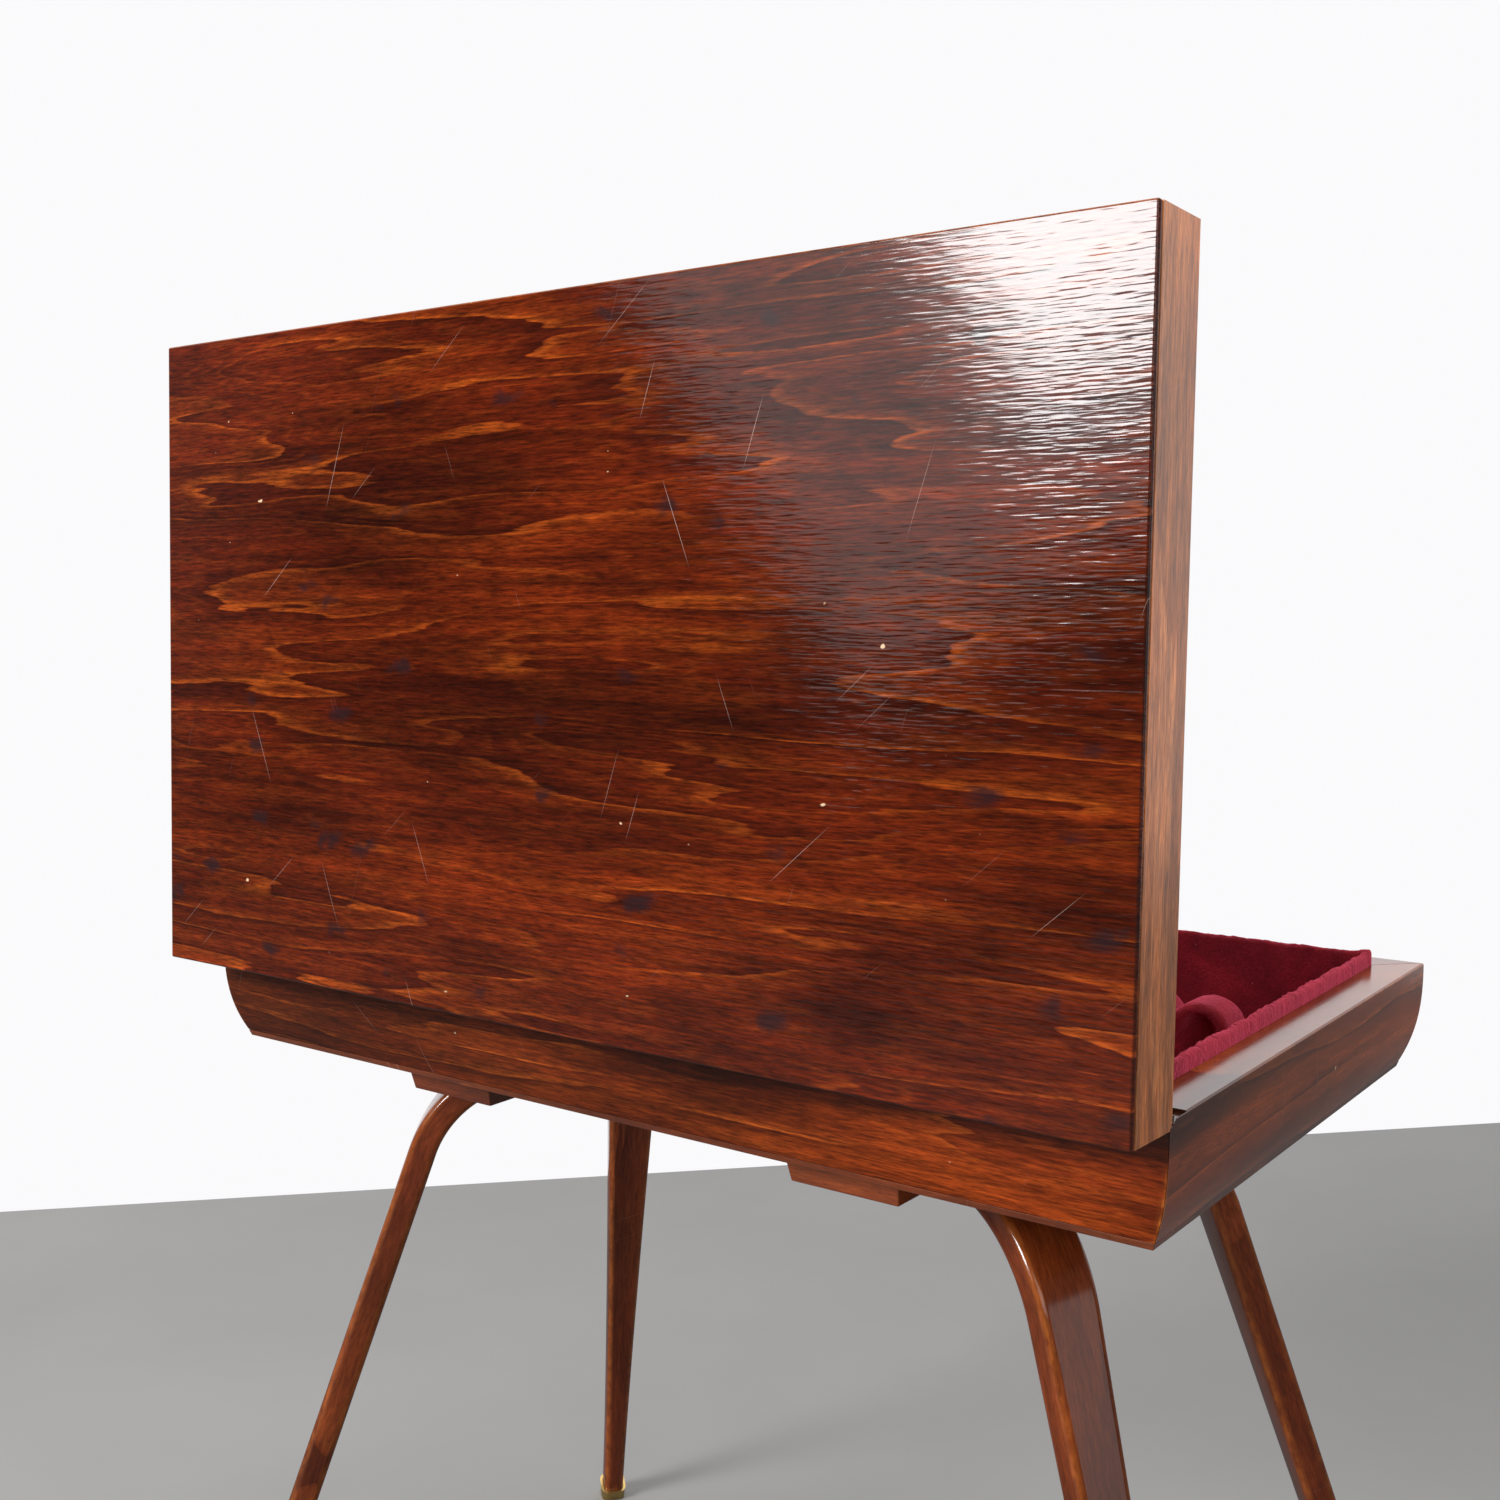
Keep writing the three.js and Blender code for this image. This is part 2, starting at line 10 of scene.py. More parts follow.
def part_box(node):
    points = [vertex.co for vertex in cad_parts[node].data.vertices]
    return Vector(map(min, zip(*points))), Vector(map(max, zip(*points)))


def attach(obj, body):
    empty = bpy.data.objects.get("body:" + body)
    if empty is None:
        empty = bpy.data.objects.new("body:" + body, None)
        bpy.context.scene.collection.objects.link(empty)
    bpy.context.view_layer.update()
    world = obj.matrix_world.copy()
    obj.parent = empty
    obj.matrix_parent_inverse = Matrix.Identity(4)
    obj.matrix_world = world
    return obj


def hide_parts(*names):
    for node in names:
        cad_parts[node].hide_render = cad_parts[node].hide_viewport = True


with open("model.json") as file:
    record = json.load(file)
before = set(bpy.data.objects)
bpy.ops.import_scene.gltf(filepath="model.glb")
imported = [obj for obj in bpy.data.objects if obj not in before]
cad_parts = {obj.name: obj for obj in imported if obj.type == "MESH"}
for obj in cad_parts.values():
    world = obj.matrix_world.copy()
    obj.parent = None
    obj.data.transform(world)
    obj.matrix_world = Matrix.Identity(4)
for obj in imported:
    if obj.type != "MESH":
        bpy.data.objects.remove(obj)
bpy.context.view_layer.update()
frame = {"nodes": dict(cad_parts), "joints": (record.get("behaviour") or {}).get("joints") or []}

# ---------------------------------------------------------------- sizes, from the frame
case_lo, case_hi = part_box("case_rail_left")
case_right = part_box("case_rail_right")[1].x
HALF_W = (case_right - case_lo.x) / 2
MID_X = (case_right + case_lo.x) / 2
RIM_Z = case_hi.z
FRONT_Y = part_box("case_rail_front")[0].y
BACK_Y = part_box("case_rail_back")[1].y
CASE_D = BACK_Y - FRONT_Y
MID_Y = (BACK_Y + FRONT_Y) / 2
RAIL_Z = case_lo.z
RAIL_T = case_hi.x - case_lo.x
BASE_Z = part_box("case_bottom_panel")[0].z
GAP = 0.0003
CREASE = 35

HINGE = frame["joints"][0]
PIN = Vector(HINGE["pos_m"])
LID_OPEN = math.radians(88)
LID_BACK = 0.0005
LID_Z = RIM_Z + 0.0023
LID_T = 0.039
LID_TOP_T = 0.0035
LID_RAIL_T = 0.0185
LID_D = CASE_D - LID_BACK
LID_CHAMFER_IN = 0.0032
LID_CHAMFER_UP = 0.0029
LINING_T = 0.004

TUCK = 0.0093
TUCK_POWER = 2.75
CHAMFER_IN = 0.0076
CHAMFER_DOWN = 0.0049
REBATE_DOWN = 0.0016
KNUCKLE_R = 0.00145

LEG_X = 0.2045
LEG_Y = 0.088
LEG_SPLAY = math.radians(19.6)
LEG_BEND_R = 0.0843
LEG_TOP_IN = -0.100
LEG_TOP_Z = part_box("leg_back_right")[1].z
LEG_T = 0.017
LEG_HALF_FOOT = 0.0075
LEG_HALF_FLARE = 0.0121
LEG_FLARE_POWER = 1.43
LEG_CORNER = 0.0044
TIP_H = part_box("foot_tip_back_right")[1].z
TIP_WALL = 0.0012
TIP_SOLE = 0.006


# ---------------------------------------------------------------- mesh helpers
def finished(name, verts, faces, body, material, replaced, grain=None, sharp=CREASE):
    """Makes a smooth-shaded piece, with the wood's own coordinates in its grain attribute."""
    mesh = bpy.data.meshes.new(name)
    mesh.from_pydata([tuple(v) for v in verts], [], faces)
    mesh.validate()
    piece = bpy.data.objects.new(name, mesh)
    bpy.context.scene.collection.objects.link(piece)
    settle(piece, sharp)
    if grain is not None:
        set_grain(piece, grain)
    mesh.materials.append(material)
    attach(piece, body)
    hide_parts(replaced)
    return piece


def settle(piece, sharp):
    """Faces turned outwards and shaded smooth, but for edges sharper than an angle."""
    mesh = piece.data
    work = bmesh.new()
    work.from_mesh(mesh)
    bmesh.ops.recalc_face_normals(work, faces=work.faces)
    work.to_mesh(mesh)
    work.free()
    mesh.shade_smooth()
    mesh.set_sharp_from_angle(angle=math.radians(sharp))


def set_grain(piece, grain):
    """grain is a function from a point to (along, through, across), or a list of those per point."""
    mesh = piece.data
    layer = mesh.attributes.new("grain", "FLOAT_VECTOR", "POINT")
    for i, v in enumerate(mesh.vertices):
        layer.data[i].vector = grain(v.co) if callable(grain) else grain[i]


def loft(rings):
    """Faces of a closed skin over rings of equal length, with flat caps."""
    n = len(rings[0])
    verts = [p for ring in rings for p in ring]
    faces = []
    for r in range(len(rings) - 1):
        for i in range(n):
            a = r * n + i
            b = r * n + (i + 1) % n
            faces.append((a, b, b + n, a + n))
    faces.append(tuple(range(n))[::-1])
    faces.append(tuple(range((len(rings) - 1) * n, len(rings) * n)))
    return verts, faces


def apply_modifiers(piece):
    """The piece's mesh as its modifiers leave it."""
    depsgraph = bpy.context.evaluated_depsgraph_get()
    mesh = bpy.data.meshes.new_from_object(piece.evaluated_get(depsgraph))
    old = piece.data
    piece.modifiers.clear()
    piece.data = mesh
    bpy.data.meshes.remove(old)


def ease_edges(piece, width, angle=30, segments=3):
    """Rounds every edge sharper than an angle."""
    bevel = piece.modifiers.new("ease", "BEVEL")
    bevel.width = width
    bevel.segments = segments
    bevel.limit_method = "ANGLE"
    bevel.angle_limit = math.radians(angle)
    bevel.use_clamp_overlap = True
    bevel.harden_normals = False


def scratch_object(name, verts, faces):
    """A plain object: a cutting tool, a piece not yet finished, or the floor."""
    mesh = bpy.data.meshes.new(name)
    mesh.from_pydata([tuple(v) for v in verts], [], faces)
    piece = bpy.data.objects.new(name, mesh)
    bpy.context.scene.collection.objects.link(piece)
    settle(piece, CREASE)
    return piece


def carved(name, verts, faces, tools, width, body, material, replaced, grain):
    """A piece with tools cut out of it and its edges eased."""
    piece = scratch_object(name, verts, faces)
    for tool in tools:
        cut = piece.modifiers.new("cut", "BOOLEAN")
        cut.operation = "DIFFERENCE"
        cut.solver = "EXACT"
        cut.object = tool
    bpy.context.view_layer.update()
    if tools:
        apply_modifiers(piece)
    ease_edges(piece, width)
    apply_modifiers(piece)
    settle(piece, CREASE)
    level = piece.modifiers.new("level", "WEIGHTED_NORMAL")
    level.keep_sharp = True
    apply_modifiers(piece)
    set_grain(piece, grain)
    piece.data.materials.append(material)
    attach(piece, body)
    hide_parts(replaced)
    return piece


def prism_x(section, x0, x1):
    """A prism along X from a section of (y, z) points."""
    return loft([[Vector((x, y, z)) for y, z in section] for x in (x0, x1)])


def box(lo, hi):
    """A box between two corners."""
    section = [(lo[1], lo[2]), (hi[1], lo[2]), (hi[1], hi[2]), (lo[1], hi[2])]
    return prism_x(section, lo[0], hi[0])


def round_section(centre_y, centre_z, radius, sides):
    """The (y, z) points of a circle."""
    return [
        (centre_y + radius * math.cos(2 * math.pi * i / sides),
         centre_z + radius * math.sin(2 * math.pi * i / sides))
        for i in range(sides)
    ]


SIDES = {"front": 0, "right": 1, "back": 2, "left": 3}


def frame_matrix(side):
    """Turns a bar drawn along the front to its own side of the case."""
    turn = Matrix.Rotation(SIDES[side] * math.pi / 2, 4, "Z")
    return Matrix.Translation((MID_X, MID_Y, 0)) @ turn


def end_stations(length):
    """Places along a bar, close together near the mitres. 1 and -1 are its ends."""
    near = [1 - 2 * gap / length for gap in (0.0, 0.0012, 0.003, 0.006, 0.015)]
    return [-t for t in near] + near[::-1]


def even_stations(count):
    """Evenly spaced places along a bar, for faces fine enough to waver."""
    return [2 * k / (count - 1) - 1 for k in range(count)]


def mitred_bar(section, side, width, depth, stations=None):
    """A mitred bar of a rectangular frame. The section is (distance in, height) points."""
    across = SIDES[side] % 2 == 1
    length = depth if across else width
    reach = width if across else depth
    trim = GAP * math.sqrt(0.5)
    place = frame_matrix(side)
    rings = []
    for t in stations or end_stations(length):
        rings.append([
            place @ Vector((t * (length / 2 - inset - trim), inset - reach / 2, z))
            for inset, z in section
        ])
    return loft(rings)


def bar_grain(side, seed):
    """Grain runs along the bar; the other axes are depth into the bar and height."""
    def grain(co):
        if side in ("front", "back"):
            return (co.x + seed, co.y, co.z + seed * 0.37)
        return (co.y + seed, co.x, co.z + seed * 0.37)
    return grain


# ---------------------------------------------------------------- shader helpers
class Shader:
    """A material whose nodes are made by short calls."""

    def __init__(self, name):
        self.material = bpy.data.materials.new(name)
        self.material.use_nodes = True
        self.tree = self.material.node_tree
        self.surface = self.tree.nodes["Principled BSDF"]

    def put(self, socket, value):
        if isinstance(value, bpy.types.NodeSocket):
            self.tree.links.new(value, socket)
        elif value is not None:
            socket.default_value = value

    def node(self, kind, **settings):
        made = self.tree.nodes.new("ShaderNode" + kind)
        for key, value in settings.items():
            setattr(made, key, value)
        return made

    def math(self, operation, a, b=None):
        made = self.node("Math", operation=operation)
        self.put(made.inputs[0], a)
        self.put(made.inputs[1], b)
        return made.outputs[0]

    def vector(self, operation, a, b):
        made = self.node("VectorMath", operation=operation)
        self.put(made.inputs[0], a)
        self.put(made.inputs[1], b)
        return made.outputs[0]

    def attribute(self, name):
        return self.node("Attribute", attribute_name=name).outputs["Vector"]

    def fraction(self, name):
        return self.node("Attribute", attribute_name=name).outputs["Fac"]

    def position(self):
        return self.node("TexCoord").outputs["Object"]

    def stretch(self, vector, along, through, across):
        return self.vector("MULTIPLY", vector, (along, through, across))

    def third(self, vector):
        made = self.node("SeparateXYZ")
        self.put(made.inputs[0], vector)
        return made.outputs["Z"]

    def turn(self, vector, lean, seed):
        """The vector turned in the plane of grain and across, and moved along by a seed."""
        made = self.node("Mapping")
        self.put(made.inputs["Vector"], vector)
        made.inputs["Rotation"].default_value = (0.0, math.radians(lean), 0.0)
        made.inputs["Location"].default_value = (seed, seed, seed)
        return made.outputs["Vector"]

    def noise(self, vector, scale=1.0, detail=2.0, roughness=0.5, distortion=0.0):
        made = self.node("TexNoise")
        self.put(made.inputs["Vector"], vector)
        made.inputs["Scale"].default_value = scale
        made.inputs["Detail"].default_value = detail
        made.inputs["Roughness"].default_value = roughness
        made.inputs["Distortion"].default_value = distortion
        return made.outputs["Fac"]

    def cells(self, vector, scale):
        made = self.node("TexVoronoi")
        self.put(made.inputs["Vector"], vector)
        made.inputs["Scale"].default_value = scale
        return made.outputs["Distance"]

    def ramp(self, factor, *stops, smooth=False):
        """Each stop is (place, grey or colour)."""
        made = self.node("ValToRGB")
        band = made.color_ramp
        band.interpolation = "EASE" if smooth else "LINEAR"
        while len(band.elements) < len(stops):
            band.elements.new(0.5)
        for element, (place, tone) in zip(band.elements, stops):
            element.position = place
            colour = (tone, tone, tone) if isinstance(tone, (int, float)) else tone
            element.color = (*colour, 1.0)
        self.put(made.inputs[0], factor)
        return made.outputs["Color"]

    def mix(self, factor, a, b, blend="MIX"):
        made = self.node("MixRGB", blend_type=blend)
        self.put(made.inputs["Fac"], factor)
        for socket, value in zip(made.inputs[1:3], (a, b)):
            self.put(socket, (*value, 1.0) if isinstance(value, tuple) else value)
        return made.outputs["Color"]

    def shaded(self, tone, factor, *stops):
        """The tone made darker and lighter by a ramp."""
        return self.mix(1.0, tone, self.ramp(factor, *stops), "MULTIPLY")

    def bump(self, height, distance, strength=1.0, normal=None):
        made = self.node("Bump")
        made.inputs["Distance"].default_value = distance
        made.inputs["Strength"].default_value = strength
        self.put(made.inputs["Height"], height)
        self.put(made.inputs["Normal"], normal)
        return made.outputs["Normal"]

    def set(self, **values):
        for key, value in values.items():
            self.put(self.surface.inputs[key.replace("_", " ")], value)


# ---------------------------------------------------------------- wood
def wood(name, dark, mid, warm, light, levels=7.0, flames=0.8, knots=0.0, marks=0.5,
         streak=1.0, ridge=0.00006, coat=0.5, glaze=0.14, glaze_ior=1.5, worn=0.5, shade_start=None):
    """Stained and lacquered wood. Its grain runs along the first axis of the grain attribute."""
    s = Shader(name)
    grain = s.attribute("grain")

    lobes = s.noise(s.stretch(grain, 2.5, 3.0, 24.0), 1.0, 2.0, 0.4, 0.2)
    fingers = s.noise(s.stretch(grain, 6.5, 3.0, 95.0), 1.0, 1.0)
    wisps = s.noise(s.stretch(grain, 26.0, 10.0, 380.0), 1.0, 1.0)
    field = s.math("ADD", lobes, s.math("MULTIPLY", fingers, 0.20))
    field = s.math("ADD", field, s.math("MULTIPLY", wisps, 0.030))
    level = s.math("FRACT", s.math("MULTIPLY", field, levels))
    blaze = s.ramp(level, (0.0, 0.0), (0.50, 0.0), (0.84, 0.25), (0.94, 1.0), (0.98, 0.7), (1.0, 0.0))
    shade = s.ramp(level, (0.0, 1.0), (0.08, 0.8), (0.30, 0.25), (0.55, 0.0), (1.0, 0.0))
    patch = s.ramp(s.noise(s.stretch(grain, 7.0, 5.0, 26.0), 1.0, 2.0), (0.40, 0.12), (0.60, 1.0))
    rings = s.math("FRACT", s.math("MULTIPLY", field, levels * 3.0))
    rings = s.ramp(rings, (0.0, 0.0), (0.55, 0.05), (0.88, 1.0), (1.0, 0.0))

    broad = s.noise(s.stretch(grain, 2.4, 4.0, 17.0), 1.0, 4.0, 0.6, 0.3)
    flecks = s.noise(s.stretch(grain, 75.0, 450.0, 800.0), 1.0, 3.0, 0.7)
    streaks = s.noise(s.stretch(grain, 9.0, 60.0, 190.0), 1.0, 3.0, 0.6)
    pores = s.ramp(s.noise(s.stretch(grain, 130.0, 1500.0, 2100.0), 1.0, 1.0), (0.57, 0.0), (0.66, 1.0))

    clouds = s.noise(s.stretch(grain, 5.0, 4.0, 15.0), 1.0, 3.0, 0.55, 0.4)
    tone = s.ramp(broad, (0.30, dark), (0.46, mid), (0.66, warm))
    tone = s.mix(s.math("MULTIPLY", s.math("MULTIPLY", shade, patch), 0.75), tone, dark)
    tone = s.mix(s.math("MULTIPLY", rings, flames * 0.16), tone, light)
    tone = s.mix(s.math("MULTIPLY", s.math("MULTIPLY", blaze, patch), flames), tone, light)
    tone = s.mix(streak, tone, s.shaded(tone, streaks, (0.30, 0.55), (0.68, 1.35)))
    tone = s.mix(streak, tone, s.shaded(tone, flecks, (0.34, 0.42), (0.66, 1.50)))
    tone = s.mix(s.math("MULTIPLY", pores, 0.5), tone, dark)
    tone = s.shaded(tone, clouds, (0.36, 0.70), (0.62, 1.36))
    # Painted shade: the open lid is darker from its top downwards, most across its middle, standing in
    # for less light there. shade_start sets where this begins, mixed with broad noise.
    if shade_start is not None:
        down = s.math("MULTIPLY", s.math("SUBTRACT", s.third(grain), shade_start), 2.5)
        down = s.math("ADD", down, s.math("MULTIPLY", broad, 0.5))
        tone = s.shaded(tone, s.math("ADD", down, 0.25), (0.25, 1.0), (0.50, 0.72), (0.72, 0.82))
    if knots:
        eye = s.cells(s.vector("ADD", s.stretch(grain, 1.0, 1.0, 1.9), s.math(
            "MULTIPLY", s.noise(grain, 60.0, 2.0), 0.03)), 17.0)
        eye = s.ramp(eye, (0.05, 1.0), (0.20, 0.0), smooth=True)
        tone = s.mix(s.math("MULTIPLY", eye, knots), tone, (0.012, 0.005, 0.006))

    chafed = s.noise(s.stretch(grain, 90.0, 170.0, 170.0), 1.0, 4.0, 0.7)
    wear = s.math("MULTIPLY", s.fraction("wear"), s.ramp(chafed, (0.36, 0.15), (0.62, 1.0)))
    tone = s.mix(s.math("MULTIPLY", wear, worn), tone, (0.46, 0.135, 0.022))
    # Darkens towards near black by the grime_and_shade attribute: painted shade on the case rails, bottom
    # panel and lid lipping, a dark edge line on the lid face, and a plain darkening on the battens.
    tone = s.mix(s.math("MULTIPLY", s.fraction("grime_and_shade"), 0.9), tone, (0.010, 0.006, 0.005))

    lines = None
    for lean, seed in ((72.0, 0.0), (112.0, 3.0), (41.0, 7.0)):
        turned = s.turn(grain, lean, seed)
        line = s.ramp(s.noise(s.stretch(turned, 11.0, 11.0, 1500.0), 1.0, 0.0), (0.85, 0.0), (0.875, 1.0))
        lines = line if lines is None else s.math("MAXIMUM", lines, line)
    nicks = s.ramp(s.noise(s.stretch(grain, 130.0, 130.0, 170.0), 1.0, 1.0), (0.82, 0.0), (0.85, 1.0))
    tone = s.mix(s.math("MULTIPLY", lines, marks * 0.45), tone, (0.45, 0.33, 0.30))
    tone = s.mix(s.math("MULTIPLY", nicks, marks), tone, (0.62, 0.45, 0.28))

    ridges = s.noise(s.stretch(grain, 85.0, 600.0, 860.0), 1.0, 0.7, 0.5)
    relief = s.math("ADD", ridges, s.math("MULTIPLY", streaks, 0.3))
    waves = s.bump(s.noise(s.stretch(grain, 16.0, 30.0, 45.0), 1.0, 3.0), 0.0003, 0.5)
    s.set(Base_Color=tone, Normal=s.bump(relief, ridge, 1.0, waves), Coat_Weight=coat,
          Coat_Roughness=glaze, Coat_IOR=glaze_ior, Specular_IOR_Level=0.0, Roughness=0.6)
    s.put(s.surface.inputs["Coat Normal"], s.bump(relief, ridge * 0.8, 1.0, waves))
    return s.material


def velvet(name, tone=(0.182, 0.0073, 0.0138), sheen_tone=(1.0, 0.13, 0.23)):
    """Short burgundy pile with crushed patches and a few specks of lint."""
    s = Shader(name)
    place = s.position()
    crushed = s.noise(place, 26.0, 4.0, 0.6, 0.8)
    pile = s.noise(place, 1400.0, 2.0, 0.7)
    tufts = s.noise(place, 420.0, 3.0, 0.7)
    colour = s.mix(1.0, tone, s.ramp(crushed, (0.3, 0.6), (0.7, 1.35)), "MULTIPLY")
    colour = s.mix(1.0, colour, s.ramp(pile, (0.3, 0.55), (0.7, 1.3)), "MULTIPLY")
    lint = s.ramp(s.noise(place, 410.0, 1.0), (0.81, 0.0), (0.83, 1.0))
    colour = s.mix(s.math("MULTIPLY", lint, 0.5), colour, (0.55, 0.30, 0.33))
    height = s.math("ADD", s.math("MULTIPLY", pile, 0.5), tufts)
    s.set(Base_Color=colour, Roughness=0.95, Sheen_Weight=1.0, Sheen_Roughness=0.42,
          Sheen_Tint=(*sheen_tone, 1.0), Specular_IOR_Level=0.15, Normal=s.bump(height, 0.0009, 0.9))
    return s.material


def metal(name, tone, spots, roughness):
    """Dull metal with tarnish spots and fine drawing lines."""
    s = Shader(name)
    place = s.position()
    tarnish = s.noise(place, 90.0, 5.0, 0.6)
    lines = s.noise(s.vector("MULTIPLY", place, (300.0, 900.0, 2600.0)), 1.0, 2.0)
    colour = s.mix(s.ramp(tarnish, (0.45, 0.0), (0.75, 0.6)), tone, spots)
    s.set(Base_Color=colour, Metallic=1.0,
          Roughness=s.math("ADD", s.math("MULTIPLY", tarnish, 0.3), roughness - 0.1),
          Normal=s.bump(lines, 0.00004, 0.6))
    return s.material


LID_VENEER = wood("lid_veneer", (0.021, 0.0023, 0.0006), (0.052, 0.0052, 0.0008),
                  (0.092, 0.0104, 0.0012), (0.255, 0.049, 0.0048), levels=7.0, flames=0.52, knots=0.8,
                  marks=0.7, ridge=0.00013, coat=0.6, glaze=0.09, glaze_ior=1.42, shade_start=-0.03)
CASE_WOOD = wood("case_wood", (0.048, 0.0085, 0.0026), (0.128, 0.0215, 0.0048),
                 (0.215, 0.041, 0.0072), (0.40, 0.098, 0.015), levels=5.0, flames=0.25, marks=0.5,
                 streak=0.38, ridge=0.00004, coat=0.85, glaze=0.17, worn=0.9)
BACK_WOOD = wood("back_rail_wood", (0.043, 0.0060, 0.0013), (0.112, 0.0145, 0.0022),
                 (0.190, 0.0295, 0.0033), (0.42, 0.088, 0.010), levels=7.0, flames=0.55, marks=0.4,
                 streak=0.9, ridge=0.00004, coat=0.3, glaze=0.16, glaze_ior=1.42, worn=0.9)
LEG_WOOD = wood("leg_wood", (0.036, 0.0060, 0.0018), (0.076, 0.0135, 0.0033),
                (0.120, 0.023, 0.0050), (0.20, 0.045, 0.010), levels=4.0, flames=0.3, marks=0.15,
                streak=0.5, ridge=0.00003, coat=0.65, glaze=0.14, worn=0.4)
LIP_WOOD = wood("lip_wood", (0.33, 0.090, 0.020), (0.49, 0.148, 0.037), (0.59, 0.195, 0.054),
                (0.62, 0.25, 0.090), levels=5.0, flames=0.3, marks=0.3, streak=0.8,
                ridge=0.00003, coat=1.0, glaze=0.25)
VELVET = velvet("velvet_pile")
BRASS = metal("tip_brass", (0.62, 0.43, 0.16), (0.16, 0.09, 0.035), 0.32)
BRONZE = metal("hinge_bronze", (0.20, 0.13, 0.06), (0.035, 0.022, 0.014), 0.42)
STEEL = metal("screw_steel", (0.34, 0.31, 0.27), (0.08, 0.05, 0.03), 0.42)


def paint(piece, name, measure):
    """Writes a 0 to 1 attribute: wear where the finish is rubbed, or grime_and_shade where the colour is
    darkened, mostly as painted shade.
    """
    layer = piece.data.attributes.new(name, "FLOAT", "POINT")
    for i, v in enumerate(piece.data.vertices):
        layer.data[i].value = measure(v.co) if callable(measure) else measure[i]


# ---------------------------------------------------------------- case
def case_section():
    """A rail's section: a flat top, and an outer face that tucks in towards the bottom."""
    arris = 0.0008
    height = RIM_Z - RAIL_Z
    steps = 40
    curve = [
        (TUCK * (k / steps) ** TUCK_POWER, RIM_Z - arris - k / steps * (height - arris))
        for k in range(steps + 1)
    ]
    return [(RAIL_T, RIM_Z), (arris, RIM_Z), *curve, (RAIL_T, RAIL_Z)]


def case_wear(co):
    """Rubbed along the mitres, more so low down, and along the arris of the rim."""
    mitre_rub = 0.0016
    arris_rub = 0.0009
    from_mitre = abs((HALF_W - abs(co.x - MID_X)) - (CASE_D / 2 - abs(co.y - MID_Y)))
    low = 1 - (co.z - RAIL_Z) / (RIM_Z - RAIL_Z)
    mitre = max(0.0, 1 - from_mitre / mitre_rub) * min(1.0, max(0.0, 2.2 * low - 0.5))
    outside = min(HALF_W - abs(co.x - MID_X), CASE_D / 2 - abs(co.y - MID_Y))
    arris = 0.3 if co.z > RIM_Z - arris_rub and outside < arris_rub else 0.0
    return max(mitre, arris)


def case_painted_shade(co):
    """Painted shade: dark in the hinge groove and its chamfer, a painted shadow under the open lid, and
    darker towards each end, most at the +X end.
    """
    # The hinge groove and chamfer, a recess, painted dark as shade.
    if co.y > BACK_Y - CHAMFER_IN - GAP and co.z > RIM_Z - CHAMFER_DOWN - 0.001:
        return 0.9
    if co.y < BACK_Y - RAIL_T:
        return 0.0
    reach = 0.022
    # A painted shadow band below the open lid's overhang, fading out 22 mm down.
    under_lid = max(0.0, 1 - (RIM_Z - CHAMFER_DOWN - co.z) / reach)
    # Painted shade towards the ends, far more at the +X end.
    across = min(1.0, max(0.0, 0.5 + (co.x - MID_X) / (2 * HALF_W)))
    return min(0.9, 0.95 * under_lid ** 1.3 + 0.15 * (1 - across) ** 3 + 0.8 * across ** 3)


def build_case():
    past = 0.005
    slope = CHAMFER_DOWN / CHAMFER_IN
    chamfer = scratch_object("cut_chamfer", *prism_x([
        (BACK_Y - CHAMFER_IN, RIM_Z),
        (BACK_Y + past, RIM_Z - slope * (CHAMFER_IN + past)),
        (BACK_Y + past, RIM_Z + past),
        (BACK_Y - CHAMFER_IN, RIM_Z + past),
    ], -1, 1))
    groove = scratch_object("cut_groove", *prism_x(
        round_section(PIN.y, PIN.z, KNUCKLE_R + GAP, 32), -1, 1))
    leaf_lo, leaf_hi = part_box("hinge_leaf_case")
    rebate = scratch_object("cut_rebate", *box(
        (leaf_lo.x - GAP, leaf_lo.y - GAP, RIM_Z - REBATE_DOWN),
        (leaf_hi.x + GAP, PIN.y, RIM_Z + past)))
    for side in SIDES:
        tools = [] if side == "front" else [chamfer, groove, rebate]
        verts, faces = mitred_bar(case_section(), side, 2 * HALF_W, CASE_D)
        skin = BACK_WOOD if side == "back" else CASE_WOOD
        rail = carved("rail_" + side, verts, faces, tools, 0.0004, "table", skin,
                      "case_rail_" + side, bar_grain(side, 0.7 * SIDES[side]))
        paint(rail, "wear", case_wear)
        # Painted shade on the rail: hinge groove, shadow under the lid, darker ends.
        paint(rail, "grime_and_shade", case_painted_shade)
    for tool in (chamfer, groove, rebate):
        bpy.data.objects.remove(tool)

    lo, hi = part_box("case_bottom_panel")
    under = 0.0013
    verts, faces = loft([
        [Vector((x, y, z)) for x, y in ((lo.x + inset, lo.y + inset), (hi.x - inset, lo.y + inset),
                                        (hi.x - inset, hi.y - inset), (lo.x + inset, hi.y - inset))]
        for z, inset in ((lo.z, under), (hi.z, 0.0))
    ])
    panel = carved("bottom_panel", verts, faces, [], 0.0004, "table", CASE_WOOD,
                   "case_bottom_panel", lambda co: (co.x, co.z, co.y))
    # Painted shade: the bottom panel, which lies under the case, is darkened all over.
    paint(panel, "grime_and_shade", lambda co: 0.6)


